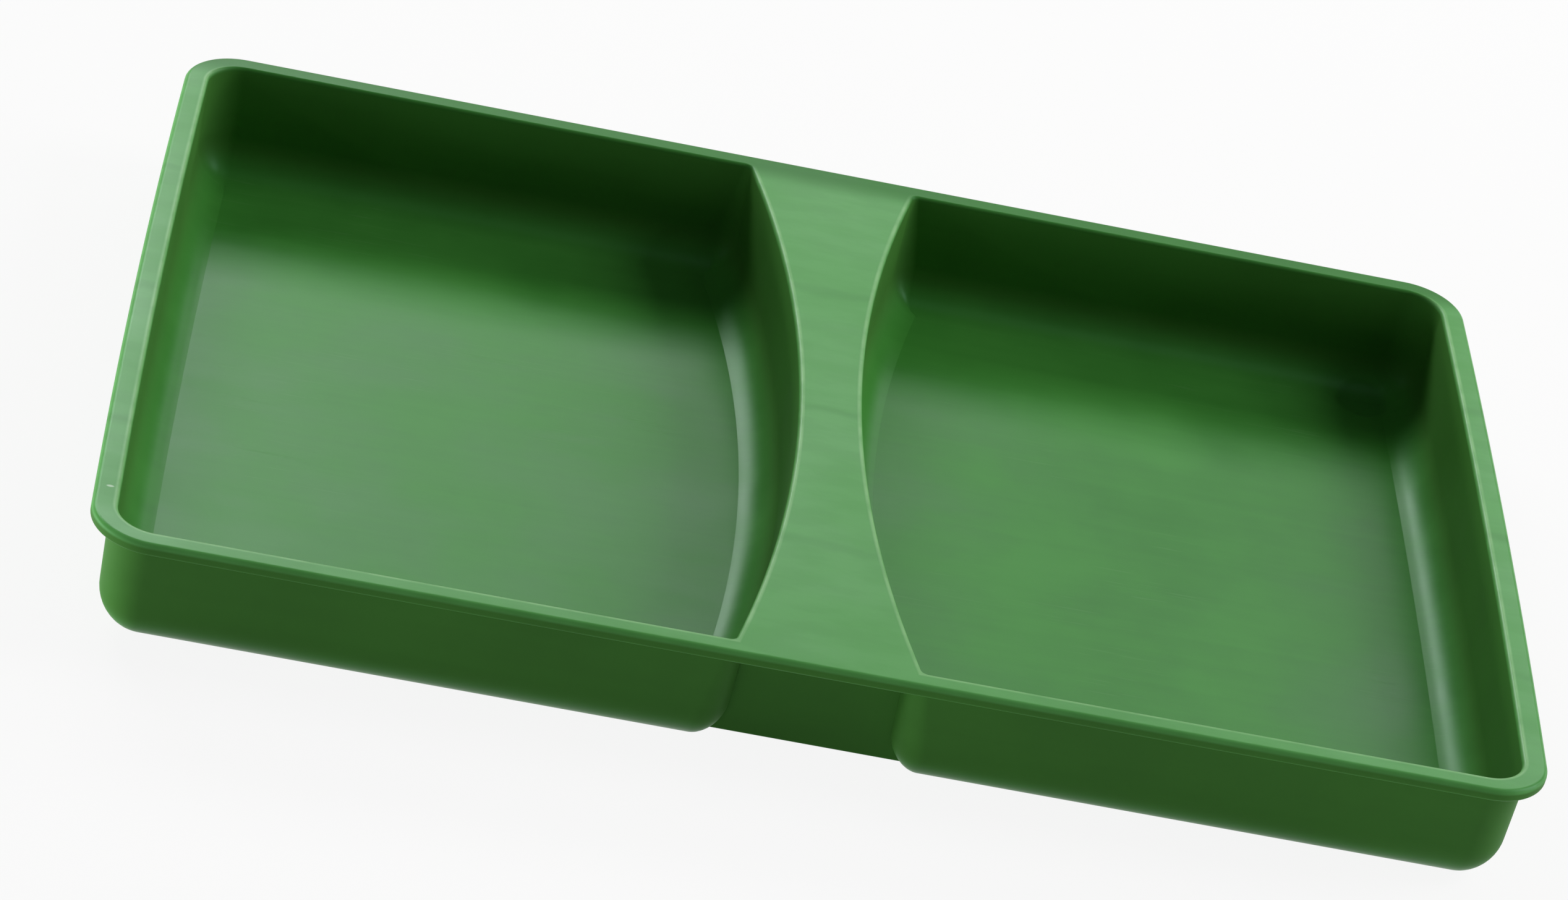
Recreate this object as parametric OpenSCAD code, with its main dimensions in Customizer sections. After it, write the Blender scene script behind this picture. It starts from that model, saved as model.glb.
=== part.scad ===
// Paint tray with two flat wells, an injection moulding in green polypropylene.
// The real tray is one moulding. It is drawn as the six features that a mould maker
// would name, and each one meets its neighbours face to face:
//   left_well, right_well   the two pans that hold the paint
//   rim                     the flat flange and its turned-down lip, all the way round
//   bridge                  the waisted deck between the two wells
//   front_web, back_web     the set-back walls that close the hollow under the bridge
//
// The origin is the middle of the footprint, on the plane the tray stands on.
// +X runs along the tray's length, +Y to the back and +Z up. All sizes are in mm.

/* [Overall] */
// Length over the rim, at the middle of the bowed ends
tray_l = 342; // [300:1:400]
// Width over the rim
tray_w = 236; // [200:1:280]
// Height from the table to the top of the rim
tray_h = 32; // [26:0.5:60]
// Radius of the rim's outer corners in plan
corner_r = 15; // [12:0.5:20]
// How far the middle of each short end stands out past its corners
end_bow = 1.1; // [0.4:0.1:4]

/* [Rim] */
// Flat width of the rim along the two long sides
rim_side_w = 5.6; // [5:0.1:8]
// Flat width of the rim along the two short ends
rim_end_w = 6; // [5:0.1:8]
// Thickness of the rim's flat flange, and of the bridge deck
deck_t = 1.8; // [1.2:0.1:2.5]
// Height of the turned-down lip, from the top of the rim
lip_h = 3.1; // [2.8:0.1:8]
// Thickness of the turned-down lip
lip_t = 1.6; // [1:0.1:2.2]
// Radius of the rim's outer top edge
rim_edge_r = 1.3; // [0.4:0.1:1.5]
// Radius of the lip's outer lower edge
lip_foot_r = 0.8; // [0.3:0.1:0.9]

/* [Wells] */
// Thickness of the wells' walls
wall_t = 1.8; // [1.2:0.1:2.4]
// Thickness of the wells' floors
floor_t = 2; // [1.2:0.1:3]
// Slope of the wells' walls from upright, in degrees
draft = 1.5; // [0.5:0.5:5]
// Radius between the walls and the floor, inside
floor_fillet_r = 10; // [4:0.5:11]

/* [Bridge] */
// Width of the bridge at its waist
bridge_waist_w = 15.6; // [8:0.1:24]
// Width of the bridge where it meets the rim
bridge_root_w = 43.4; // [36:0.1:56]
// Radius of each well's corners beside the bridge, at the top
root_top_r = 2; // [1:0.5:4]
// Radius of each well's corners beside the bridge, at the floor
root_floor_r = 9; // [4:0.5:14]

/* [Webs] */
// Thickness of the two webs under the bridge
web_t = 1.8; // [1.2:0.1:3]
// How far a web stands back from the wells' long outer walls
web_setback = 7.5; // [3:0.5:12]
// Height of a web's lower edge above the table
web_foot_gap = 3; // [2:0.5:6]

/* [Hidden] */

GREEN = [0.33, 0.60, 0.33];
DEEP_GREEN = [0.25, 0.50, 0.25];

corner_steps = 8;      // chords round each corner
side_steps = 16;       // chords along each bowed end and each side of the bridge
fillet_steps = 6;      // chords from wall to floor
past = 1;              // how far a cutting shape runs past the face it cuts
min_round = 0.4;       // the smallest radius that a corner shrinks to
root_land = 1.5;       // how far short of a root's round the bridge is cut off

deck_z = tray_h - deck_t;              // underside of the flange and the bridge
half_l = tray_l / 2;
half_w = tray_w / 2;
open_y = half_w - rim_side_w;          // half width of the wells' openings
well_corner_r = corner_r - rim_side_w; // radius of the wells' corners at the tray's ends
foot_r = floor_fillet_r + wall_t;      // radius between wall and floor, outside

// Both ends are arcs. Each passes through the middle of the end and the two places
// where the corners start, end_bow further in.
end_chord = half_w - corner_r;
end_r = (end_chord * end_chord + end_bow * end_bow) / (2 * end_bow);
end_cx = half_l - end_r;

// Each side of the bridge is an arc too, bulging towards the bridge's waist.
waist_bulge = (bridge_root_w - bridge_waist_w) / 2;
side_r = (open_y * open_y + waist_bulge * waist_bulge) / (2 * waist_bulge);
side_cx = bridge_waist_w / 2 + side_r;

// The rim keeps the corners between the bridge and the wells, so the block that cuts
// the bridge off stops short of them, and is a little wider than the bridge's roots.
join_y = open_y - root_top_r - root_land;
join_x = bridge_root_w / 2 + root_land;

web_y = open_y + wall_t - web_setback;                // a web's outer face
web_x = bridge_root_w / 2 + root_floor_r + foot_r;    // well inside both pans

// ---- plan curves ---------------------------------------------------------------------

// The right-hand side of a plan outline, from its front to its back: an arc of radius
// big_r about [cx, 0], joined to the long sides at y = -half_y and y = half_y by rounds.
function bowed_side(cx, big_r, half_y, round_r) =
    let (yc = half_y - round_r,
         reach = big_r - round_r,
         xc = cx + sqrt(reach * reach - yc * yc),
         lean = asin(yc / reach))
    concat(
        [for (i = [0:corner_steps])
            let (a = -90 + (90 - lean) * i / corner_steps)
            [xc + round_r * cos(a), round_r * sin(a) - yc]],
        [for (i = [1:side_steps - 1])
            let (a = lean * (2 * i / side_steps - 1))
            [cx + big_r * cos(a), big_r * sin(a)]],
        [for (i = [0:corner_steps])
            let (a = lean + (90 - lean) * i / corner_steps)
            [xc + round_r * cos(a), round_r * sin(a) + yc]]
    );

// The same curve on the left-hand side, from the back to the front
function flipped(points) = [for (i = [len(points) - 1:-1:0]) [-points[i].x, points[i].y]];

// The tray's outline, grown outwards by d
function tray_outline(d) =
    let (side = bowed_side(end_cx, end_r + d, half_w + d, corner_r + d))
    concat(side, flipped(side));

// The right-hand well's outline, grown outwards by d. Beside the bridge its corners open
// out from root_top_r at the rim to root_floor_r at the floor; depth runs from 0 to 1.
function well_outline(d, depth) =
    let (corner = max(well_corner_r + d, min_round),
         root = max(root_top_r + (root_floor_r - root_top_r) * depth + d, min_round))
    concat(
        bowed_side(end_cx, end_r - rim_end_w + d, open_y + d, corner),
        flipped(bowed_side(-side_cx, side_r + d, open_y + d, root))
    );

// ---- solids from stacked outlines ----------------------------------------------------

// A solid skinned over outlines of equal length; each level is [z, outline]
module stacked(levels) {
    n = len(levels[0][1]);
    top = (len(levels) - 1) * n;
    polyhedron(
        points = [for (level = levels) for (p = level[1]) [p.x, p.y, level[0]]],
        faces = concat(
            [[for (i = [0:n - 1]) i]],
            [for (k = [0:len(levels) - 2], i = [0:n - 1])
                let (a = k * n + i, b = k * n + (i + 1) % n)
                [a, a + n, b + n]],
            [for (k = [0:len(levels) - 2], i = [0:n - 1])
                let (a = k * n + i, b = k * n + (i + 1) % n)
                [a, b + n, b]],
            [[for (i = [n - 1:-1:0]) top + i]]
        ),
        convexity = 4
    );
}

// How far a drafted wall has come in at height z, below the top of the rim
function drawn_in(z) = (tray_h - z) * tan(draft);

// How deep height z is, from 0 at the rim to 1 at the floor
function depth_at(z) = min(1, max(0, (tray_h - z) / (tray_h - floor_t)));

// Levels of a pan whose wall is wall_grow outside the well's opening, from a flat foot at
// foot_z, up a round of radius r and then straight through the heights in tops
function pan_levels(wall_grow, foot_z, r, tops) = concat(
    [for (i = [0:fillet_steps])
        let (a = 90 * i / fillet_steps,
             d = wall_grow - drawn_in(foot_z + r) - r * (1 - sin(a)))
        [foot_z + r * (1 - cos(a)), well_outline(d, depth_at(foot_z + r))]],
    [for (z = tops) [z, well_outline(wall_grow - drawn_in(z), depth_at(z))]]
);

// The hollow of the right-hand well, run out past the top of the rim
module well_hollow() {
    stacked(pan_levels(0, floor_t, floor_fillet_r, [deck_z, tray_h, tray_h + past]));
}

// The outside of the right-hand well, up to height top
module well_outside(top) {
    stacked(pan_levels(wall_t, 0, foot_r, top > deck_z ? [deck_z, top] : [top]));
}

module both_sides() {
    children();
    mirror([1, 0, 0]) children();
}

// The block that cuts the bridge out of the rim
module bridge_block(z, h) {
    translate([-join_x, -join_y, z])
        cube([2 * join_x, 2 * join_y, h]);
}

// ---- the tray's features -------------------------------------------------------------

module right_well() {
    color(GREEN)
    difference() {
        well_outside(deck_z);
        well_hollow();
    }
}

module left_well() {
    mirror([1, 0, 0]) right_well();
}

module rim() {
    color(GREEN)
    difference() {
        stacked(concat(
            [for (i = [0:fillet_steps])
                let (a = 90 * i / fillet_steps)
                [tray_h - lip_h + lip_foot_r * (1 - cos(a)),
                 tray_outline(-lip_foot_r * (1 - sin(a)))]],
            [for (i = [0:fillet_steps])
                let (a = 90 * i / fillet_steps)
                [tray_h - rim_edge_r * (1 - sin(a)), tray_outline(-rim_edge_r * (1 - cos(a)))]]
        ));
        stacked([[tray_h - lip_h - past, tray_outline(-lip_t)], [deck_z, tray_outline(-lip_t)]]);
        both_sides() well_hollow();
        bridge_block(deck_z - past, deck_t + 2 * past);
    }
}

module bridge() {
    color(GREEN)
    difference() {
        bridge_block(deck_z, deck_t);
        both_sides() well_hollow();
    }
}

module front_web() {
    color(DEEP_GREEN)
    difference() {
        translate([-web_x, -web_y, web_foot_gap])
            cube([2 * web_x, web_t, deck_z - web_foot_gap]);
        both_sides() well_outside(tray_h);
    }
}

module back_web() {
    mirror([0, 1, 0]) front_web();
}

left_well();
right_well();
rim();
bridge();
front_web();
back_web();
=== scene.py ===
# %% [markdown]
# # A two-well paint tray in green polypropylene
# The real tray is one injection moulding. The fixed frame holds it as six features that meet
# face to face: two pans, the rim, the bridge between the pans, and a web under each end of
# the bridge. This lesson builds a finer mesh for each feature, with the small rounds that a
# mould leaves, then gives them one moulded plastic, a plain studio and a camera.

# %% Load the fixed frame
import math

import bmesh
import bpy
import numpy as np
from mathutils import Matrix, Vector


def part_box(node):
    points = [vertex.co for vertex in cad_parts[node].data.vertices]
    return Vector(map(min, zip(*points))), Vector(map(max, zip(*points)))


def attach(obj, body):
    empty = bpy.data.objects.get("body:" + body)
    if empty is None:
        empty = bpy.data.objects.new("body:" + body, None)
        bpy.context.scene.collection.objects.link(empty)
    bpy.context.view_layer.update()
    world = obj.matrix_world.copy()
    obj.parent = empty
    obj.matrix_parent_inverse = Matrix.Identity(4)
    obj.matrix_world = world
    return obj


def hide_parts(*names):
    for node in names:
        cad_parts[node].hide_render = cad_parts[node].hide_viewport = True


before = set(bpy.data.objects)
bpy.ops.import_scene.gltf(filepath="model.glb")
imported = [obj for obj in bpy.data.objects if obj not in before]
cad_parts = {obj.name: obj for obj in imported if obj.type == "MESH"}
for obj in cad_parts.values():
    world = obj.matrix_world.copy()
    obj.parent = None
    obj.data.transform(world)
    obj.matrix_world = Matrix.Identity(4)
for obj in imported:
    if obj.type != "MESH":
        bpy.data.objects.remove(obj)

bpy.context.view_layer.update()

# %% [markdown]
# ## Sizes
# Everything is in metres, in the frame's own place. The sizes that can be read off the
# frame are read off it, so the looks follow the construction when it changes. The rest are
# the moulder's own numbers: wall, draft and radii. Draft is the lean that lets a moulding
# slide out of its mould, and it is why the pans are a little narrower at the floor.

# %% Driving sizes
MM = 0.001

WALL_T = 1.8 * MM          # pan walls
FLOOR_T = 2.0 * MM         # pan floors
DRAFT = math.radians(1.5)  # lean of the pan walls
FLOOR_FILLET_R = 10 * MM   # between a wall and the floor, inside
CORNER_R = 15 * MM         # outer corners of the rim, in plan
END_BOW = 1.1 * MM         # how far the middle of a short end stands out
BRIDGE_ROOT_W = 43.4 * MM  # width of the bridge where it runs into the rim
ROOT_TOP_R = 2 * MM        # a pan's corners beside the bridge, at the top
ROOT_FLOOR_R = 9 * MM      # the same corners, at the floor
LIP_T = 1.6 * MM           # thickness of the turned-down lip
RIM_EDGE_R = 1.3 * MM      # outer top edge of the rim
LIP_FOOT_R = 0.8 * MM      # outer lower edge of the lip
INSIDE_R = 0.4 * MM        # inside the lip, where it meets the flange, and its inner lower edge
MOUTH_R = 0.9 * MM         # where the rim and the bridge turn down into a pan

# %% Sizes read from the frame
rim_low, rim_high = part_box("rim")
pan_low, pan_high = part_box("right_well")
bridge_low, bridge_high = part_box("bridge")
web_low, web_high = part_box("front_web")

TRAY_H = rim_high.z
LIP_H = rim_high.z - rim_low.z
DECK_T = bridge_high.z - bridge_low.z
DECK_Z = TRAY_H - DECK_T   # underside of the rim's flange and of the bridge


def drawn_in(z):
    """How far a drafted wall has come in at height z, below the top of the rim."""
    return (TRAY_H - z) * math.tan(DRAFT)


HALF_L = rim_high.x
HALF_W = rim_high.y
OPEN_Y = pan_high.y - WALL_T + drawn_in(DECK_Z)            # half width of a pan's mouth
RIM_END_W = HALF_L - (pan_high.x - WALL_T + drawn_in(DECK_Z))
BRIDGE_WAIST_W = 2 * (pan_low.x + WALL_T - drawn_in(DECK_Z))
JOIN_Y = bridge_high.y                                     # the bridge is cut off here
MOUTH_CORNER_R = CORNER_R - (HALF_W - OPEN_Y)
FOOT_R = FLOOR_FILLET_R + WALL_T

print("rim flat: %.1f mm at the ends, %.1f mm along the sides" % (
    RIM_END_W / MM, (HALF_W - OPEN_Y) / MM))
print("bridge: %.1f mm at its waist" % (BRIDGE_WAIST_W / MM))

# %% [markdown]
# ## Plan curves
# Seen from above, every edge of the tray is the same kind of line: a long shallow arc with a
# corner round at each end, then a straight run to its mirror image. One function draws that
# side. The outer edge uses it twice, and so does each pan, with a flatter arc at the tray's
# end and a deeper one that bulges towards the bridge.

# %% Plan curves
CORNER_STEPS = 20      # chords round each corner
SIDE_STEPS = 40        # chords along each long arc
MIN_ROUND = 0.4 * MM   # the smallest radius that a corner shrinks to


def arc_about(centre_x, half_chord, bulge):
    """Radius and centre of an arc whose middle is at x = centre_x and bulges by bulge."""
    radius = (half_chord ** 2 + bulge ** 2) / (2 * bulge)
    return radius, centre_x - radius


END_R, END_CX = arc_about(HALF_L, HALF_W - CORNER_R, END_BOW)
SIDE_R, side_cx_left = arc_about(
    -BRIDGE_WAIST_W / 2, OPEN_Y, (BRIDGE_ROOT_W - BRIDGE_WAIST_W) / 2)
SIDE_CX = -side_cx_left


def bowed_side(centre_x, big_r, half_y, round_r):
    """The right-hand side of a plan outline, front to back: round, long arc, round."""
    reach = big_r - round_r
    y_c = half_y - round_r
    x_c = centre_x + math.sqrt(reach ** 2 - y_c ** 2)
    lean = math.asin(y_c / reach)
    front = np.linspace(-math.pi / 2, -lean, CORNER_STEPS + 1)
    along = np.linspace(-lean, lean, SIDE_STEPS + 1)[1:-1]
    back = np.linspace(lean, math.pi / 2, CORNER_STEPS + 1)
    return np.vstack([
        np.column_stack([x_c + round_r * np.cos(front), round_r * np.sin(front) - y_c]),
        np.column_stack([centre_x + big_r * np.cos(along), big_r * np.sin(along)]),
        np.column_stack([x_c + round_r * np.cos(back), round_r * np.sin(back) + y_c]),
    ])


def flipped(points):
    """The same curve on the left-hand side, from the back to the front."""
    return points[::-1] * (-1, 1)


def tray_outline(d):
    """The tray's outer edge, grown outwards by d."""
    side = bowed_side(END_CX, END_R + d, HALF_W + d, CORNER_R + d)
    return np.vstack([side, flipped(side)])


def depth_at(z):
    """How deep height z is, from 0 at the rim to 1 at the floor."""
    return min(1, max(0, (TRAY_H - z) / (TRAY_H - FLOOR_T)))


def end_side(d):
    """The right-hand pan's side at the tray's end, grown outwards by d."""
    corner_r = max(MOUTH_CORNER_R + d, MIN_ROUND)
    return bowed_side(END_CX, END_R - RIM_END_W + d, OPEN_Y + d, corner_r)


def bridge_side(d, depth):
    """The right-hand pan's side at the bridge, from the back to the front."""
    root_r = max(ROOT_TOP_R + (ROOT_FLOOR_R - ROOT_TOP_R) * depth + d, MIN_ROUND)
    return flipped(bowed_side(-SIDE_CX, SIDE_R + d, OPEN_Y + d, root_r))


def pan_outline(d, depth):
    """The right-hand pan's outline, grown outwards by d."""
    return np.vstack([end_side(d), bridge_side(d, depth)])


print("each plan outline has", len(tray_outline(0)), "points")

# %% [markdown]
# ## From outlines to closed meshes
# A moulding like this is a stack of outlines, one above the other. Skinning quads between
# neighbouring outlines gives clean long strips, which is what makes highlights run smoothly
# along a fillet. Each end of the stack is closed with one face. Normals are then weighted by
# face area, so that flat walls shade flat right up to their rounds.

# %% Mesh helpers
def level(z, outline):
    """An outline lifted to height z. z is one number, or one for each point."""
    return np.column_stack([outline, np.broadcast_to(z, len(outline))])


def skin(name, rings):
    """A closed mesh skinned over rings of equal length, capped at both ends."""
    n = len(rings[0])
    bm = bmesh.new()
    rows = [[bm.verts.new(p) for p in ring] for ring in rings]
    bm.faces.new(rows[0])
    bm.faces.new(rows[-1])
    for low, high in zip(rows, rows[1:]):
        for i in range(n):
            j = (i + 1) % n
            bm.faces.new((low[i], low[j], high[j], high[i]))
    bmesh.ops.recalc_face_normals(bm, faces=bm.faces)
    mesh = bpy.data.meshes.new(name)
    bm.to_mesh(mesh)
    bm.free()
    piece = bpy.data.objects.new(name, mesh)
    bpy.context.scene.collection.objects.link(piece)
    return piece


def made_plain(piece):
    """Replaces a piece's mesh with the result of its modifiers, and removes them."""
    depsgraph = bpy.context.evaluated_depsgraph_get()
    mesh = bpy.data.meshes.new_from_object(
        piece.evaluated_get(depsgraph), preserve_all_data_layers=True, depsgraph=depsgraph)
    piece.modifiers.clear()
    piece.data = mesh
    mesh.name = piece.name
    return piece


SHARP = math.radians(32)   # edges that turn by more than this stay crisp


def shaded(piece, crease=()):
    """Smooth shading, with crisp edges kept and flat faces left flat.

    crease holds the points of the piece's first ring that lie on a fine crease."""
    piece.data.shade_smooth()
    piece.data.set_sharp_from_angle(angle=SHARP)
    for edge in piece.data.edges:
        if edge.vertices[0] in crease and edge.vertices[1] in crease:
            edge.use_edge_sharp = True
    weighted = piece.modifiers.new("flat faces stay flat", "WEIGHTED_NORMAL")
    weighted.keep_sharp = True
    weighted.weight = 100
    return made_plain(piece)


def mirrored(piece, name, axis):
    """A copy of a piece, mirrored in its mesh about the tray's middle."""
    mesh = piece.data.copy()
    turn = Matrix.Scale(-1, 4, Vector((1, 0, 0) if axis == "X" else (0, 1, 0)))
    mesh.transform(turn)
    mesh.flip_normals()
    twin = bpy.data.objects.new(name, mesh)
    bpy.context.scene.collection.objects.link(twin)
    return twin


def measured(piece):
    """Prints a piece's size and how many triangles it has."""
    corners = np.array([v.co for v in piece.data.vertices])
    size = (corners.max(0) - corners.min(0)) / MM
    triangles = sum(len(f.vertices) - 2 for f in piece.data.polygons)
    print("%s: %.1f x %.1f x %.1f mm, %d triangles" % (piece.name, *size, triangles))


# %% [markdown]
# ## The two pans
# Each pan is a shell: up the inside from the floor, over the top of the wall, and down the
# outside to the foot. At a pan's two short sides the fillet stops a few degrees before it lies
# flat, so a fine crease runs along the foot of the wall, where the mould's inserts were let in.

# %% The pans
FILLET_STEPS = 14
CREASE = math.radians(8)                           # angle at which those fillets stop
CREASED_SHARE = 0.3                                # the crease fades out below this share
FLOOR_Z = FLOOR_T + FLOOR_FILLET_R * (1 - math.cos(CREASE))


def short_side_share():
    """For each point of a pan's outline: 1 on a short side, 0 where a corner meets a long one."""
    per_side = 2 * CORNER_STEPS + SIDE_STEPS + 1
    blend = np.linspace(0, 1, CORNER_STEPS + 1)
    side = np.ones(per_side)
    side[:CORNER_STEPS + 1] = blend
    side[-CORNER_STEPS - 1:] = blend[::-1]
    return np.concatenate([side, side])


def drafted_level(grow, z):
    """A level of a drafted wall that is grow outside the pan's mouth."""
    return level(z, pan_outline(grow - drawn_in(z), depth_at(z)))


def inner_fillet_level(turn):
    """A level of the inside fillet; turn runs from 0 at the floor to 1 at the wall."""
    share = short_side_share()
    start = CREASE * share
    angle = start + (math.pi / 2 - start) * turn
    centre_z = FLOOR_Z + FLOOR_FILLET_R * np.cos(start)
    top_z = FLOOR_T + FLOOR_FILLET_R
    z = centre_z - FLOOR_FILLET_R * np.cos(angle)
    points = np.empty((len(share), 2))
    for a in np.unique(angle):
        d = -drawn_in(top_z) - FLOOR_FILLET_R * (1 - math.sin(a))
        here = angle == a
        points[here] = pan_outline(d, depth_at(top_z))[here]
    return level(z, points)


def outer_fillet_level(turn):
    """A level of the round under the pan; turn runs from 0 at the foot to 1 at the wall."""
    angle = turn * math.pi / 2
    d = WALL_T - drawn_in(FOOT_R) - FOOT_R * (1 - math.sin(angle))
    return level(FOOT_R * (1 - math.cos(angle)), pan_outline(d, depth_at(FOOT_R)))


turns = np.linspace(0, 1, FILLET_STEPS + 1)
pan_inside = [inner_fillet_level(t) for t in turns] + [drafted_level(0, DECK_Z)]
pan_outside = [drafted_level(WALL_T, DECK_Z)] + [outer_fillet_level(t) for t in turns[::-1]]
creased = set(np.flatnonzero(short_side_share() > CREASED_SHARE).tolist())
right_pan = shaded(skin("right_pan", pan_inside + pan_outside), creased)
left_pan = mirrored(right_pan, "left_pan", "X")
measured(right_pan)
measured(left_pan)

# %% [markdown]
# ## The cutting shapes
# The rim and the bridge are one flat deck in which the two mouths are open. The same cutting
# shape gives both of them their inner edge: a pan's drafted hollow that flares at the top,
# and so leaves a small round all along the mouth. It stops a few degrees before it lies
# flat, because a cut that only grazes a flat face leaves slivers.

# %% The hollow of a pan
MOUTH_STEPS = 6
MOUTH_END = math.radians(84)   # the flare's last angle
PAST = 1 * MM                  # how far a cutting shape runs past the face that it cuts


def mouth_levels():
    """The flare at the top of a pan's hollow, from the wall outwards to the deck."""
    centre_z = TRAY_H - MOUTH_R * math.sin(MOUTH_END)
    levels = []
    for angle in np.linspace(0, MOUTH_END, MOUTH_STEPS + 1):
        z = centre_z + MOUTH_R * math.sin(angle)
        d = MOUTH_R * (1 - math.cos(angle)) - drawn_in(centre_z)
        levels.append((z, d))
    return levels


hollow_rings = [drafted_level(0, DECK_Z - PAST), drafted_level(0, DECK_Z)]
hollow_rings += [level(z, pan_outline(d, depth_at(z))) for z, d in mouth_levels()]
hollow_rings += [level(TRAY_H + PAST, pan_outline(mouth_levels()[-1][1], 0))]
right_hollow = skin("right_hollow", hollow_rings)
left_hollow = mirrored(right_hollow, "left_hollow", "X")
print("the mouth's round: %d steps for %.0f degrees" % (MOUTH_STEPS, math.degrees(MOUTH_END)))

# %% [markdown]
# ## The rim
# The rim is one L-shaped section carried round the tray's outer edge, which is what Geometry
# Nodes do best: the tree draws the section from its named sizes, rounds its corners with
# Fillet Curve, sweeps it with Curve to Mesh, and cuts the mouths and the bridge's place out of
# it. Changing the lip's height is then one number on the modifier, with no mesh to edit.

# %% Node helper
def add_node(tree, kind, settings=None, links=None):
    """Adds a node. settings holds its properties and unlinked inputs, links its linked inputs."""
    node = tree.nodes.new(kind)
    for name, value in (settings or {}).items():
        if isinstance(name, str) and hasattr(node, name):
            setattr(node, name, value)
        else:
            node.inputs[name].default_value = value
    for name, source in (links or {}).items():
        tree.links.new(source, node.inputs[name])
    return node


def add_input(tree, name, kind):
    """Adds a named input to a node group."""
    tree.interface.new_socket(name, in_out="INPUT", socket_type=kind)


# %% The tree that sweeps the rim
ROUND_STEPS = 6      # chords round each corner of the section
MERGE_GAP = 1e-6     # points closer than this are one point


def rim_tree():
    """A tree that draws the rim's section, sweeps it round the path and cuts it."""
    tree = bpy.data.node_groups.new("swept rim", "GeometryNodeTree")
    tree.interface.new_socket("Geometry", in_out="INPUT", socket_type="NodeSocketGeometry")
    tree.interface.new_socket("Geometry", in_out="OUTPUT", socket_type="NodeSocketGeometry")
    for name in ("Reach", "Flange thickness", "Lip height", "Lip thickness", "Edge radius",
                 "Foot radius", "Inside radius"):
        add_input(tree, name, "NodeSocketFloat")
    add_input(tree, "Round steps", "NodeSocketInt")
    for name in ("Right hollow", "Left hollow", "Bridge block"):
        add_input(tree, name, "NodeSocketObject")
    add_input(tree, "Plastic", "NodeSocketMaterial")
    given = tree.nodes.new("NodeGroupInput").outputs

    def minus(source):
        return add_node(tree, "ShaderNodeMath", {"operation": "MULTIPLY", 1: -1.0},
                        {0: source}).outputs[0]

    def corner(x, y):
        return add_node(tree, "ShaderNodeCombineXYZ", None,
                        {k: v for k, v in (("X", x), ("Y", y)) if v is not None}).outputs[0]

    # the section's X runs outwards from the path and its Y downwards
    inner, lip_in = minus(given["Reach"]), minus(given["Lip thickness"])
    under, foot = given["Flange thickness"], given["Lip height"]
    corners = [corner(inner, None), corner(inner, under), corner(lip_in, under),
               corner(lip_in, foot), corner(None, foot), corner(None, None)]
    radii = [None, None, given["Inside radius"], given["Inside radius"],
             given["Foot radius"], given["Edge radius"]]

    index = add_node(tree, "GeometryNodeInputIndex").outputs[0]
    place = add_node(tree, "GeometryNodeIndexSwitch", {"data_type": "VECTOR"}, {"Index": index})
    radius = add_node(tree, "GeometryNodeIndexSwitch", {"data_type": "FLOAT"}, {"Index": index})
    for switch in (place, radius):
        while len(switch.index_switch_items) < len(corners):
            switch.index_switch_items.new()
    for i, (point, size) in enumerate(zip(corners, radii)):
        tree.links.new(point, place.inputs[i + 1])
        if size is not None:
            tree.links.new(size, radius.inputs[i + 1])

    points = add_node(tree, "GeometryNodePoints", {"Count": len(corners)},
                      {"Position": place.outputs[0]})
    line = add_node(tree, "GeometryNodePointsToCurves", None, {"Points": points.outputs[0]})
    closed = add_node(tree, "GeometryNodeSetSplineCyclic", {"Cyclic": True},
                      {"Geometry": line.outputs[0]})
    section = add_node(tree, "GeometryNodeFilletCurve", {"mode": "POLY"},
                       {"Curve": closed.outputs[0], "Radius": radius.outputs[0],
                        "Count": given["Round steps"]})

    path = add_node(tree, "GeometryNodeMeshToCurve", None, {"Mesh": given["Geometry"]})
    level_path = add_node(tree, "GeometryNodeSetCurveNormal", {"mode": "Z_UP"},
                          {"Curve": path.outputs[0]})
    swept = add_node(tree, "GeometryNodeCurveToMesh", None,
                     {"Curve": level_path.outputs[0], "Profile Curve": section.outputs[0]})
    merged = add_node(tree, "GeometryNodeMergeByDistance", {"Distance": MERGE_GAP},
                      {"Geometry": swept.outputs[0]})

    cut = add_node(tree, "GeometryNodeMeshBoolean",
                   {"operation": "DIFFERENCE", "solver": "EXACT"}, {0: merged.outputs[0]})
    for name in ("Bridge block", "Left hollow", "Right hollow"):
        taken = add_node(tree, "GeometryNodeObjectInfo", None, {"Object": given[name]})
        tree.links.new(taken.outputs["Geometry"], cut.inputs[1])
    real = add_node(tree, "GeometryNodeRealizeInstances", None, {"Geometry": cut.outputs[0]})
    done = add_node(tree, "GeometryNodeSetMaterial", None,
                    {"Geometry": real.outputs[0], "Material": given["Plastic"]})
    out = tree.nodes.new("NodeGroupOutput")
    tree.links.new(done.outputs[0], out.inputs[0])
    return tree


def set_inputs(modifier, values):
    """Sets a Geometry Nodes modifier's inputs, by each socket's identifier."""
    for item in modifier.node_group.interface.items_tree:
        if item.item_type == "SOCKET" and item.in_out == "INPUT" and item.name in values:
            modifier[item.identifier] = values[item.name]
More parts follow.
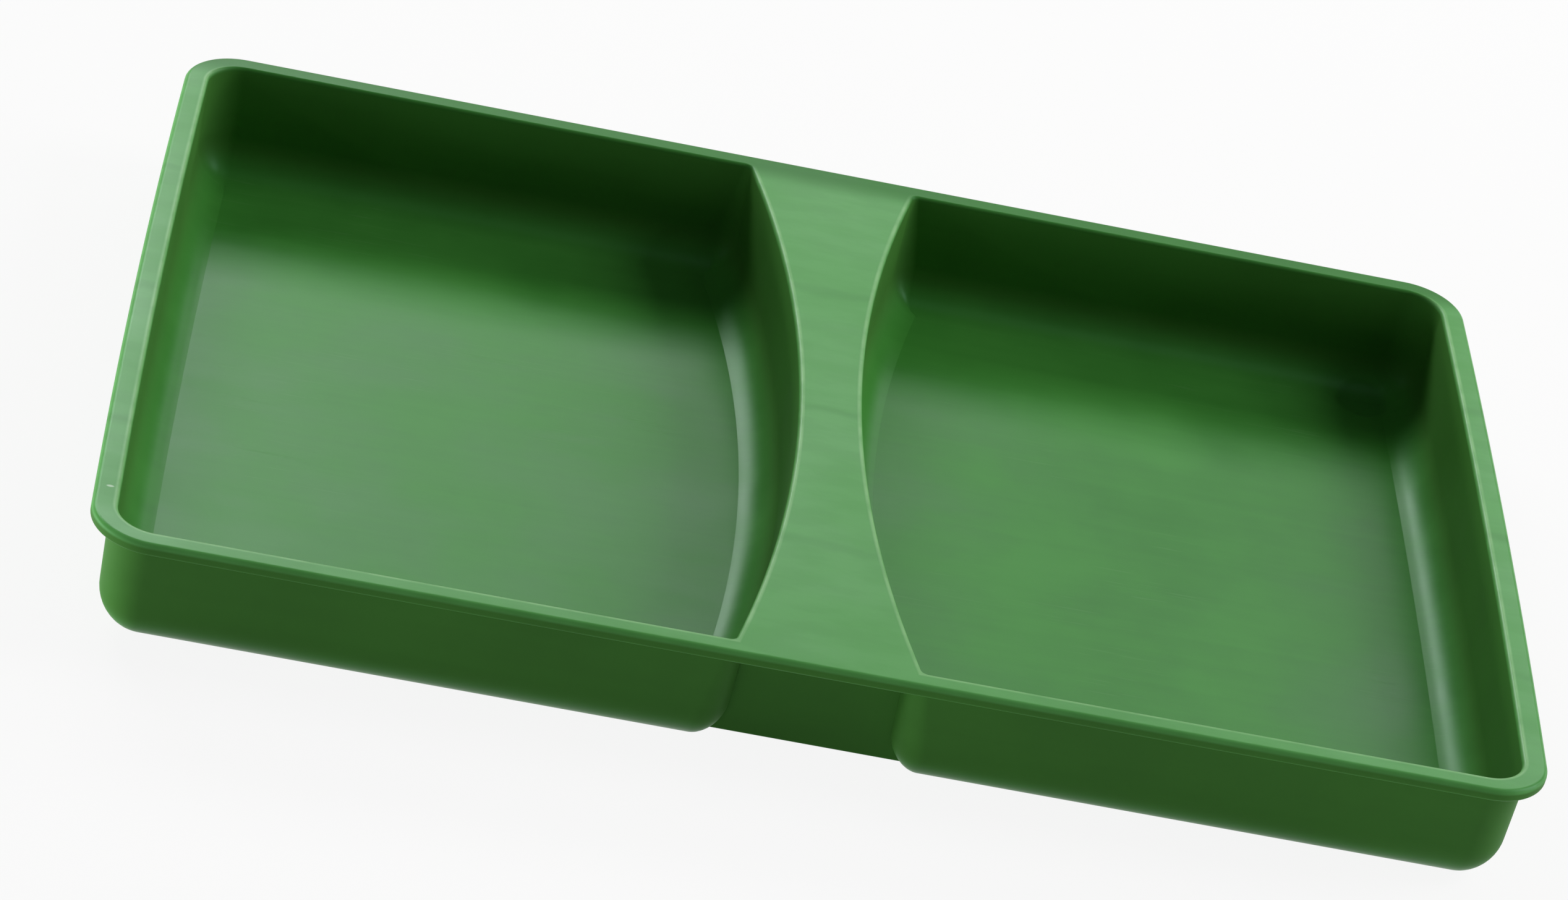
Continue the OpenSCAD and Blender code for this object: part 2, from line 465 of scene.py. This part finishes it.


# %% [markdown]
# ## One moulded plastic
# The tray is polypropylene, coloured all through and moulded in one shot against a polished
# but worn steel mould. To the eye that is a saturated green under a soft gloss. The material
# is built from small patterns, each of them a number from 0 to 1:
# - flow streaks along the tray and broad clouds, which waver in both colour and gloss;
# - faint lines across the deck, where the melt stopped and started as the mould filled;
# - a deck painted paler, which is painted light, and darker at its back edge, which is painted
#   shade, with a still paler line along the mouths' edges, which is a painted highlight;
# - hair-fine scuffs on the floors, a nick in the rim and the shallow dish of an ejector pin;
# - walls that are duller than the flats, because they dragged along the mould on their way out,
#   and painted darker than the flats, which is painted shade.

# %% Colour helper
def linear(hex_colour):
    """An sRGB hex colour as linear RGBA."""
    channels = [int(hex_colour[i:i + 2], 16) / 255 for i in (1, 3, 5)]
    return (*[c / 12.92 if c <= 0.04045 else ((c + 0.055) / 1.055) ** 2.4 for c in channels], 1)


# %% Noise helpers
def noise(tree, place, scale, detail=2.0, stretch=None, turn=0.0, distortion=0.0):
    """A noise value. scale is in features a metre, and stretch squeezes it along X, Y and Z."""
    if stretch is not None:
        place = add_node(tree, "ShaderNodeMapping",
                         {"Scale": stretch, "Rotation": (0, 0, math.radians(turn))},
                         {"Vector": place}).outputs[0]
    return add_node(tree, "ShaderNodeTexNoise",
                    {"Scale": scale, "Detail": detail, "Distortion": distortion},
                    {"Vector": place}).outputs[0]


def ramp(tree, value, low, high, to_low=0.0, to_high=1.0):
    """Maps a value from low..high to to_low..to_high, smoothly, and clamps it."""
    return add_node(tree, "ShaderNodeMapRange",
                    {"interpolation_type": "SMOOTHSTEP", "From Min": low, "From Max": high,
                     "To Min": to_low, "To Max": to_high}, {"Value": value}).outputs[0]


def combined(tree, operation, first, second):
    """One Math node. Each side is a socket or a number."""
    node = add_node(tree, "ShaderNodeMath", {"operation": operation})
    for socket, side in zip(node.inputs, (first, second)):
        if isinstance(side, (int, float)):
            socket.default_value = side
        else:
            tree.links.new(side, socket)
    return node.outputs[0]


def tinted(tree, base, tint, amount):
    """The colour base, moved towards the hex colour tint by amount."""
    node = add_node(tree, "ShaderNodeMix", {"data_type": "RGBA", 7: linear(tint)}, {0: amount})
    if isinstance(base, str):
        node.inputs[6].default_value = linear(base)
    else:
        tree.links.new(base, node.inputs[6])
    return node.outputs[2]


def product(tree, first, *rest):
    """The product of sockets and numbers."""
    for side in rest:
        first = combined(tree, "MULTIPLY", first, side)
    return first


def vector_part(tree, operation, vector, other, output="Vector"):
    """One Vector Math node, between a socket and a fixed vector."""
    return add_node(tree, "ShaderNodeVectorMath", {"operation": operation, 1: other},
                    {0: vector}).outputs[output]


# %% Wear, flow and painted light
PIN_MARK = Vector((150, 102, 4)) * MM     # where an ejector pin pushed the tray from its mould
PIN_R = 8 * MM
PIN_EDGE = 2.2 * MM                       # width of the dish's sloping edge
PIN_DEPTH = 0.2 * MM
WAVE_H = 0.25 * MM                        # the long waves that a cooling moulding takes on
GRAIN_H = 0.004 * MM                      # the mould's own fine grain
NICK = Vector((-166.5, -96.7, 32)) * MM   # a nick in the left-hand rim
NICK_R = 1.1 * MM
LINE_W = 1.5 * MM                         # how far the painted highlight line reaches from a mouth's edge
FLOW_STEP = 30 * MM                       # half the way from one flow mark to the next
DECK_FADE = TRAY_H - 1.4 * MM, TRAY_H - 0.7 * MM   # heights over which the deck's look begins
BACK_FADE = HALF_W - 4 * MM, HALF_W - 14 * MM      # the painted light on the deck fades out towards its back edge, which is painted darker as painted shade


def beyond_mouth(tree, split):
    """How far a point lies outside the nearer pan's mouth, in plan: 0 on the mouth's edge."""
    x = combined(tree, "ABSOLUTE", split["X"], 0.0)
    y = combined(tree, "ABSOLUTE", split["Y"], 0.0)
    flat = add_node(tree, "ShaderNodeCombineXYZ", None, {0: x, 1: y}).outputs[0]

    def beyond_arc(centre_x, radius):
        away = vector_part(tree, "DISTANCE", flat, (centre_x, 0, 0), "Value")
        return combined(tree, "SUBTRACT", away, radius)

    # the tray's end and the long side meet in a round of radius MOUTH_CORNER_R
    past_end = combined(tree, "ADD", beyond_arc(END_CX, END_R - RIM_END_W), MOUTH_CORNER_R)
    past_side = combined(tree, "SUBTRACT", y, OPEN_Y - MOUTH_CORNER_R)
    corner = add_node(tree, "ShaderNodeCombineXYZ", None,
                      {0: combined(tree, "MAXIMUM", past_end, 0.0),
                       1: combined(tree, "MAXIMUM", past_side, 0.0)}).outputs[0]
    rounded = vector_part(tree, "LENGTH", corner, (0, 0, 0), "Value")
    rounded = combined(tree, "SUBTRACT", rounded, MOUTH_CORNER_R)
    return combined(tree, "MAXIMUM", rounded, beyond_arc(SIDE_CX, SIDE_R))


def mottle_pattern(tree, place):
    """Flow streaks 80 mm long and 5 mm wide, under clouds about 40 mm across."""
    streaks = noise(tree, place, 1.0, detail=4.0, stretch=(12, 200, 200), distortion=0.4)
    clouds = noise(tree, place, 25.0, detail=3.0)
    both = combined(tree, "ADD", product(tree, streaks, 0.22), product(tree, clouds, 0.78))
    return ramp(tree, both, 0.28, 0.72)


def flow_marks(tree, place, y):
    """Lines about 3 mm wide across the deck, which wander by a few millimetres."""
    wander = product(tree, noise(tree, place, 45.0, detail=3.0), 12 * MM)
    along = combined(tree, "PINGPONG", combined(tree, "ADD", y, wander), FLOW_STEP)
    return ramp(tree, along, 3.2 * MM, 0.3 * MM)


def edge_highlight_line(tree, place, outside):
    """A painted highlight: a broken pale line just outside the mouths' edges."""
    inner_edge = ramp(tree, outside, 0.0, 0.4 * MM)
    outer_edge = ramp(tree, outside, LINE_W, MOUTH_R)
    breaks = ramp(tree, noise(tree, place, 120.0, detail=3.0), 0.3, 0.65, 0.5, 1.0)
    return product(tree, inner_edge, outer_edge, breaks)


def scuff_lines(tree, place, z):
    """Fine lines 30 mm long on the floors, in two directions and in a few patches."""
    patches = ramp(tree, noise(tree, place, 18.0), 0.52, 0.66)
    on_floor = ramp(tree, z, FLOOR_T + 1.2 * MM, FLOOR_T + 0.4 * MM)
    one_way = ramp(tree, noise(tree, place, 1.0, stretch=(45, 1300, 100), turn=24), 0.64, 0.70)
    other_way = ramp(tree, noise(tree, place, 1.0, stretch=(40, 1100, 100), turn=-38), 0.66, 0.72)
    return product(tree, combined(tree, "MAXIMUM", one_way, other_way), patches, on_floor)


def nick_mark(tree, place):
    """A pale speck, twice as long as it is wide."""
    from_nick = vector_part(tree, "SUBTRACT", place, NICK)
    away = vector_part(tree, "LENGTH", vector_part(tree, "MULTIPLY", from_nick, (1, 2, 2)),
                       (0, 0, 0), "Value")
    return ramp(tree, away, NICK_R, 0.5 * NICK_R)


def pin_dish(tree, place):
    """The ejector pin's mark: a shallow round dish in one corner of the right-hand pan."""
    away = vector_part(tree, "DISTANCE", place, PIN_MARK, "Value")
    return ramp(tree, away, PIN_R, PIN_R - PIN_EDGE)


# %% Moulded green polypropylene
def moulded_polypropylene():
    """Injection-moulded polypropylene: deep green, semi-gloss, with flow streaks, wear, and painted
    light and shade.
    """
    material = bpy.data.materials.new("moulded_green_polypropylene")
    material.use_nodes = True
    tree = material.node_tree
    shader = tree.nodes["Principled BSDF"]
    shader.inputs["IOR"].default_value = 1.49
    shader.inputs["Specular IOR Level"].default_value = 0.195   # the satin skin of a moulding
    shader.inputs["Specular Tint"].default_value = linear("#BEFFE6")
    place = add_node(tree, "ShaderNodeTexCoord").outputs["Object"]
    split = add_node(tree, "ShaderNodeSeparateXYZ", None, {0: place}).outputs
    normal = add_node(tree, "ShaderNodeNewGeometry").outputs["Normal"]
    tilt = add_node(tree, "ShaderNodeSeparateXYZ", None, {0: normal}).outputs["Z"]
    flatness = combined(tree, "ABSOLUTE", tilt, 0.0)   # 1 on a flat face, 0 on an upright one

    mottle = mottle_pattern(tree, place)
    outside = beyond_mouth(tree, split)
    on_deck = ramp(tree, split["Z"], *DECK_FADE)
    lit_deck = product(tree, on_deck, ramp(tree, split["Y"], *BACK_FADE))
    shaded_back_edge = combined(tree, "SUBTRACT", on_deck, lit_deck)
    # the painted light on the deck is uneven: smears 6 mm wide and 15 mm long run across it, and the
    # back edge is painted a deeper green, as painted shade
    smears = noise(tree, place, 1.0, detail=3.0, stretch=(65, 165, 100), turn=35)
    painted_deck_light = product(tree, lit_deck, ramp(tree, smears, 0.35, 0.65, 0.58, 0.78))
    stops = product(tree, flow_marks(tree, place, split["Y"]), on_deck)
    edge_highlight = product(tree, edge_highlight_line(tree, place, outside), lit_deck)
    scuffs = scuff_lines(tree, place, split["Z"])
    dish = pin_dish(tree, place)
    upright = ramp(tree, flatness, 0.9, 0.2)

    colour = tinted(tree, "#3F8835", "#4B983F", mottle)
    # painted shade: upright faces are painted a darker olive green, standing in for the less light that
    # reaches the walls
    colour = tinted(tree, colour, "#425A20", product(tree, upright, 0.45))
    # painted light: the deck is painted a paler green than the floors
    colour = tinted(tree, colour, "#65B05F", painted_deck_light)
    # painted shade: the deck's back edge is painted a deeper green
    colour = tinted(tree, colour, "#2F6F28", product(tree, shaded_back_edge, 0.4))
    colour = tinted(tree, colour, "#3A7E33", product(tree, stops, 0.25))
    colour = tinted(tree, colour, "#2A6128", product(tree, dish, 0.3))
    # painted highlight: a pale line along the mouths' edges, where light catches them
    colour = tinted(tree, colour, "#9CD090", product(tree, edge_highlight, 0.6))
    colour = tinted(tree, colour, "#CFE8CB", product(tree, nick_mark(tree, place), 0.8))
    colour = tinted(tree, colour, "#6FA568", product(tree, scuffs, 0.22))
    tree.links.new(colour, shader.inputs["Base Color"])

    # the walls dragged along the mould on their way out, so they are duller than the flats
    rough = ramp(tree, mottle, 0.0, 1.0, 0.29, 0.36)
    for part, more in ((scuffs, 0.10), (dish, 0.12), (shaded_back_edge, 0.08), (upright, 0.30)):
        rough = combined(tree, "ADD", rough, product(tree, part, more))
    tree.links.new(rough, shader.inputs["Roughness"])

    # the height field in metres: slow waves, the mould's 0.5 mm grain and the pin's dish
    waves = product(tree, noise(tree, place, 1.0, stretch=(14, 40, 40)), WAVE_H)
    grain = product(tree, noise(tree, place, 2000.0), GRAIN_H)
    height = combined(tree, "ADD", waves, grain)
    height = combined(tree, "SUBTRACT", height, product(tree, dish, PIN_DEPTH))
    bump = add_node(tree, "ShaderNodeBump", {"Strength": 1.0, "Distance": 1.0}, {"Height": height})
    tree.links.new(bump.outputs[0], shader.inputs["Normal"])
    return material


plastic = moulded_polypropylene()
print("material:", plastic.name, "with", len(plastic.node_tree.nodes), "nodes")

# %% Sweep the rim
def facing_out(piece):
    """Recalculates a piece's faces to point outwards."""
    bm = bmesh.new()
    bm.from_mesh(piece.data)
    bmesh.ops.recalc_face_normals(bm, faces=bm.faces)
    bm.to_mesh(piece.data)
    bm.free()
    return piece


RIM_REACH = (HALF_W - JOIN_Y) + PAST   # how far in the flange is swept, past the bridge's ends


def edge_path(name, outline, z):
    """A closed loop of edges, for a section to follow."""
    n = len(outline)
    mesh = bpy.data.meshes.new(name)
    points = [tuple(p) for p in level(z, outline)]
    mesh.from_pydata(points, [(i, (i + 1) % n) for i in range(n)], [])
    path = bpy.data.objects.new(name, mesh)
    bpy.context.scene.collection.objects.link(path)
    return path


def block(name, half_x, half_y, low_z, high_z):
    """A plain block for cutting with, about the tray's middle."""
    corners = np.array([(half_x, -half_y), (half_x, half_y), (-half_x, half_y), (-half_x, -half_y)])
    return skin(name, [level(low_z, corners), level(high_z, corners)])


bridge_block = block("bridge_block", BRIDGE_ROOT_W / 2 + PAST, JOIN_Y, DECK_Z - PAST, TRAY_H + PAST)
rim = edge_path("swept_rim", tray_outline(0), TRAY_H)
sweep = rim.modifiers.new("swept rim", "NODES")
sweep.node_group = rim_tree()
set_inputs(sweep, {
    "Reach": RIM_REACH, "Flange thickness": DECK_T, "Lip height": LIP_H, "Lip thickness": LIP_T,
    "Edge radius": RIM_EDGE_R, "Foot radius": LIP_FOOT_R, "Inside radius": INSIDE_R,
    "Round steps": ROUND_STEPS, "Right hollow": right_hollow, "Left hollow": left_hollow,
    "Bridge block": bridge_block, "Plastic": plastic,
})
made_plain(rim)
shaded(facing_out(rim))
measured(rim)

# %% [markdown]
# ## The bridge
# The bridge is the same deck between two arcs. It has no path to follow, only a width that
# changes, so it is skinned in levels like the pans: the levels of the mouth's round, so that
# its edges run on into the rim's without a step.

# %% The bridge
def between_joins(side):
    """The stretch of a pan's bridge side with |y| up to JOIN_Y, cut off exactly there."""
    y = side[:, 1]
    inside = side[np.abs(y) < JOIN_Y]
    ends = [np.interp(at, y[::-1], side[::-1, 0]) for at in (JOIN_Y, -JOIN_Y)]
    return np.vstack([(ends[0], JOIN_Y), inside, (ends[1], -JOIN_Y)])


def deck_level(z, d):
    """A level of the bridge, whose two sides are the pans' outlines grown by d."""
    side = between_joins(bridge_side(d, depth_at(z)))
    return level(z, np.vstack([side, side[::-1] * (-1, 1)]))


deck_rings = [deck_level(DECK_Z, -drawn_in(DECK_Z))]
deck_rings += [deck_level(z, d) for z, d in mouth_levels()]
bridge = shaded(skin("bridge_deck", deck_rings))
measured(bridge)

# %% [markdown]
# ## The webs
# Under each end of the bridge a web joins the two pans and stiffens the tray. It is a plate
# with a small round along its lower edges. Its ends have to follow the pans' rounded corners,
# which no simple outline gives, so they are cut with the pans' own outsides.

# %% The webs
WEB_EDGE_R = 0.5 * MM
WEB_STEPS = 4
WEB_X = BRIDGE_ROOT_W / 2 + ROOT_FLOOR_R + FOOT_R   # well inside both pans


def plate_section():
    """The web's section in Y and Z, with its two lower edges rounded."""
    low_y, high_y = web_low.y, web_high.y
    section = [(low_y, web_high.z), (high_y, web_high.z)]
    for centre_y, first in ((high_y - WEB_EDGE_R, 0), (low_y + WEB_EDGE_R, -90)):
        for angle in np.radians(np.linspace(first, first - 90, WEB_STEPS + 1)):
            section.append((centre_y + WEB_EDGE_R * math.cos(angle),
                            web_low.z + WEB_EDGE_R + WEB_EDGE_R * math.sin(angle)))
    return np.array(section)


def cut_by(piece, cutters):
    """Cuts shapes out of a piece with exact booleans."""
    for cutter in cutters:
        cut = piece.modifiers.new("cut by " + cutter.name, "BOOLEAN")
        cut.operation = "DIFFERENCE"
        cut.solver = "EXACT"
        cut.object = cutter
    return made_plain(piece)


outside_rings = [drafted_level(WALL_T, TRAY_H)] + pan_outside
right_outside = skin("right_outside", outside_rings)
left_outside = mirrored(right_outside, "left_outside", "X")
section = plate_section()
plate_rings = [np.column_stack([np.full(len(section), x), section]) for x in (-WEB_X, WEB_X)]
front_web = skin("front_web_plate", plate_rings)
shaded(cut_by(front_web, [right_outside, left_outside]))
back_web = mirrored(front_web, "back_web_plate", "Y")
measured(front_web)
measured(back_web)

# %% Put the cutting shapes away
cutting_shapes = [right_hollow, left_hollow, bridge_block, right_outside, left_outside]
for shape in cutting_shapes:
    bpy.data.objects.remove(shape)
print(len(cutting_shapes), "cutting shapes removed")

# %% [markdown]
# ## Hand the pieces to the frame
# Each piece rides on the tray's only body, stands for its own node of the frame, whose part
# is hidden, and takes the one moulded plastic.

# %% Ride, replace and slot
stands_for = {
    "left_well": left_pan, "right_well": right_pan, "rim": rim,
    "bridge": bridge, "front_web": front_web, "back_web": back_web,
}
for node, piece in stands_for.items():
    piece.data.materials.clear()
    piece.data.materials.append(plastic)
    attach(piece, "root")
    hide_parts(node)

# %% [markdown]
# ## The studio
# The tray stands on a plain pale table that runs on into a white background. The light is
# soft and mostly comes from behind, where the flat surfaces mirror it towards the camera.
# That lays a broad gloss on the rim, the bridge and the floors. A large softbox at the right
# gives the pans their shape, and low panels at the sides and in front open up the walls.

# %% Table and white background
TABLE_HALF = 1.6      # metres from the tray's middle to each edge of the table
TABLE_WHITE = 0.9     # how far the table is lifted to white where it is seen


def rays_that_see(tree):
    """Two values: 1 for a straight ray from the camera, and 1 for a mirrored or refracted one."""
    ray = add_node(tree, "ShaderNodeLightPath").outputs
    mirrored_ray = combined(tree, "MAXIMUM", ray["Is Glossy Ray"], ray["Is Transmission Ray"])
    return ray["Is Camera Ray"], mirrored_ray


def pale_table():
    """A matt pale table top, seen lifted to white but with the tray's shadow kept."""
    material = bpy.data.materials.new("matt_pale_table")
    material.use_nodes = True
    tree = material.node_tree
    tree.nodes.remove(tree.nodes["Principled BSDF"])
    matt = add_node(tree, "ShaderNodeBsdfDiffuse", {"Color": linear("#EBEBE9")})
    white = add_node(tree, "ShaderNodeEmission", {"Color": (1, 1, 1, 1), "Strength": 1.0})
    seen = product(tree, combined(tree, "MAXIMUM", *rays_that_see(tree)), TABLE_WHITE)
    both = add_node(tree, "ShaderNodeMixShader", None,
                    {0: seen, 1: matt.outputs[0], 2: white.outputs[0]})
    tree.links.new(both.outputs[0], tree.nodes["Material Output"].inputs["Surface"])
    return material


table_mesh = bpy.data.meshes.new("table")
quarters = ((-1, -1), (1, -1), (1, 1), (-1, 1))
table_corners = [(x * TABLE_HALF, y * TABLE_HALF, 0) for x, y in quarters]
table_mesh.from_pydata(table_corners, [], [(0, 1, 2, 3)])
table = bpy.data.objects.new("table", table_mesh)
bpy.context.scene.collection.objects.link(table)
table.data.materials.append(pale_table())
print("table: %.1f m square, finished in %s" % (2 * TABLE_HALF, table.data.materials[0].name))

# %% World
AMBIENT = 0.05                   # what the dim room adds all round
BACKDROP_FULL = math.radians(2)  # up to this height above the horizon the backdrop is white
BACKDROP_TOP = math.radians(12)  # and here it has faded out

world = bpy.data.worlds.new("studio")
bpy.context.scene.world = world
world.use_nodes = True
sky = world.node_tree
background = sky.nodes["Background"]
background.inputs["Color"].default_value = (1, 1, 1, 1)
camera_ray, mirrored_ray = rays_that_see(sky)
upward = add_node(sky, "ShaderNodeSeparateXYZ", None,
                  {0: add_node(sky, "ShaderNodeTexCoord").outputs["Generated"]}).outputs["Z"]
backdrop = ramp(sky, upward, math.sin(BACKDROP_FULL), math.sin(BACKDROP_TOP), 1.0, AMBIENT)
mirrored_part = product(sky, mirrored_ray, backdrop)
room_part = product(sky, combined(sky, "SUBTRACT", 1.0, mirrored_ray), AMBIENT)
strength = combined(sky, "MAXIMUM", camera_ray, combined(sky, "ADD", mirrored_part, room_part))
sky.links.new(strength, background.inputs["Strength"])
print("world:", world.name, "with", len(sky.nodes), "nodes")

# %% Lamps
LAMP_DISTANCE = 2.0    # metres from the tray's middle


def softbox(name, azimuth, elevation, size, power):
    """An area lamp aimed at the tray. Azimuth 0 is behind it and 90 is to its right."""
    a, e = math.radians(azimuth), math.radians(elevation)
    toward = Vector((math.sin(a) * math.cos(e), math.cos(a) * math.cos(e), math.sin(e)))
    light = bpy.data.lights.new(name, "AREA")
    light.shape = "RECTANGLE"
    light.size, light.size_y = size
    light.energy = power
    lamp = bpy.data.objects.new(name, light)
    lamp.location = toward * LAMP_DISTANCE
    lamp.rotation_euler = toward.to_track_quat("Z", "Y").to_euler()
    lamp.visible_camera = False
    bpy.context.scene.collection.objects.link(lamp)


# behind: they light the flats and are mirrored in them
softbox("softbox_behind_left", azimuth=-26, elevation=34, size=(1.1, 0.6), power=18)
softbox("softbox_behind_right", azimuth=30, elevation=33, size=(0.8, 0.6), power=6)
softbox("panel_behind", azimuth=0, elevation=32, size=(0.7, 0.4), power=4)
# at the right: a large softbox, and a low panel for the walls that face it
softbox("softbox_right", azimuth=81, elevation=37, size=(0.8, 1.1), power=17)
softbox("low_panel_right", azimuth=88, elevation=11, size=(0.6, 0.2), power=6)
# overhead
softbox("softbox_overhead", azimuth=90, elevation=75, size=(1.0, 1.0), power=1.3)
# at the left: for the walls inside, and a strip no higher than the tray for its outside
softbox("small_lamp_left", azimuth=-102, elevation=20, size=(0.1, 0.1), power=1.2)
softbox("low_panel_left", azimuth=-80, elevation=2, size=(0.9, 0.13), power=7.5)
softbox("strip_left", azimuth=-92, elevation=0.5, size=(0.9, 0.03), power=24)
# in front: a little light on the walls that face the camera
softbox("low_panel_in_front", azimuth=-165, elevation=2.5, size=(1.6, 0.15), power=4)
print("lamps: %d, together %.1f W" % (len(bpy.data.lights), sum(one.energy for one in bpy.data.lights)))

# %% [markdown]
# ## Camera
# A long lens from over a metre away keeps the tray's sides nearly parallel. The camera is
# rolled, so the tray runs down to the right across the picture.

# %% Camera
AIM = Vector((-8.4, 0, 16)) * MM
DISTANCE = 1.368
AZIMUTH = math.radians(-6.64)    # the camera stands a little to the left of the middle
ELEVATION = math.radians(30.69)
ROLL = math.radians(13.96)
SENSOR_W = 36                    # millimetres, as is the focal length
FOCAL_LENGTH = 128.1

lens = bpy.data.cameras.new("camera")
lens.sensor_width = SENSOR_W
lens.lens = FOCAL_LENGTH
camera = bpy.data.objects.new("camera", lens)
back = Vector((math.sin(AZIMUTH) * math.cos(ELEVATION), -math.cos(AZIMUTH) * math.cos(ELEVATION),
               math.sin(ELEVATION)))
camera.matrix_world = (Matrix.Translation(AIM + back * DISTANCE)
                       @ back.to_track_quat("Z", "Y").to_matrix().to_4x4()
                       @ Matrix.Rotation(ROLL, 4, "Z"))
bpy.context.scene.collection.objects.link(camera)
bpy.context.scene.camera = camera
bpy.context.scene.view_settings.view_transform = "Standard"
print("camera: %.2f m away, %.1f mm lens" % (DISTANCE, FOCAL_LENGTH))

# %% [markdown]
# ## Bring the scene up to date
# The view layer is updated once more, after the last piece is placed. The finer meshes
# must not reach past the box of the construction they stand for.

# %% Bring the view layer up to date
bpy.context.view_layer.update()
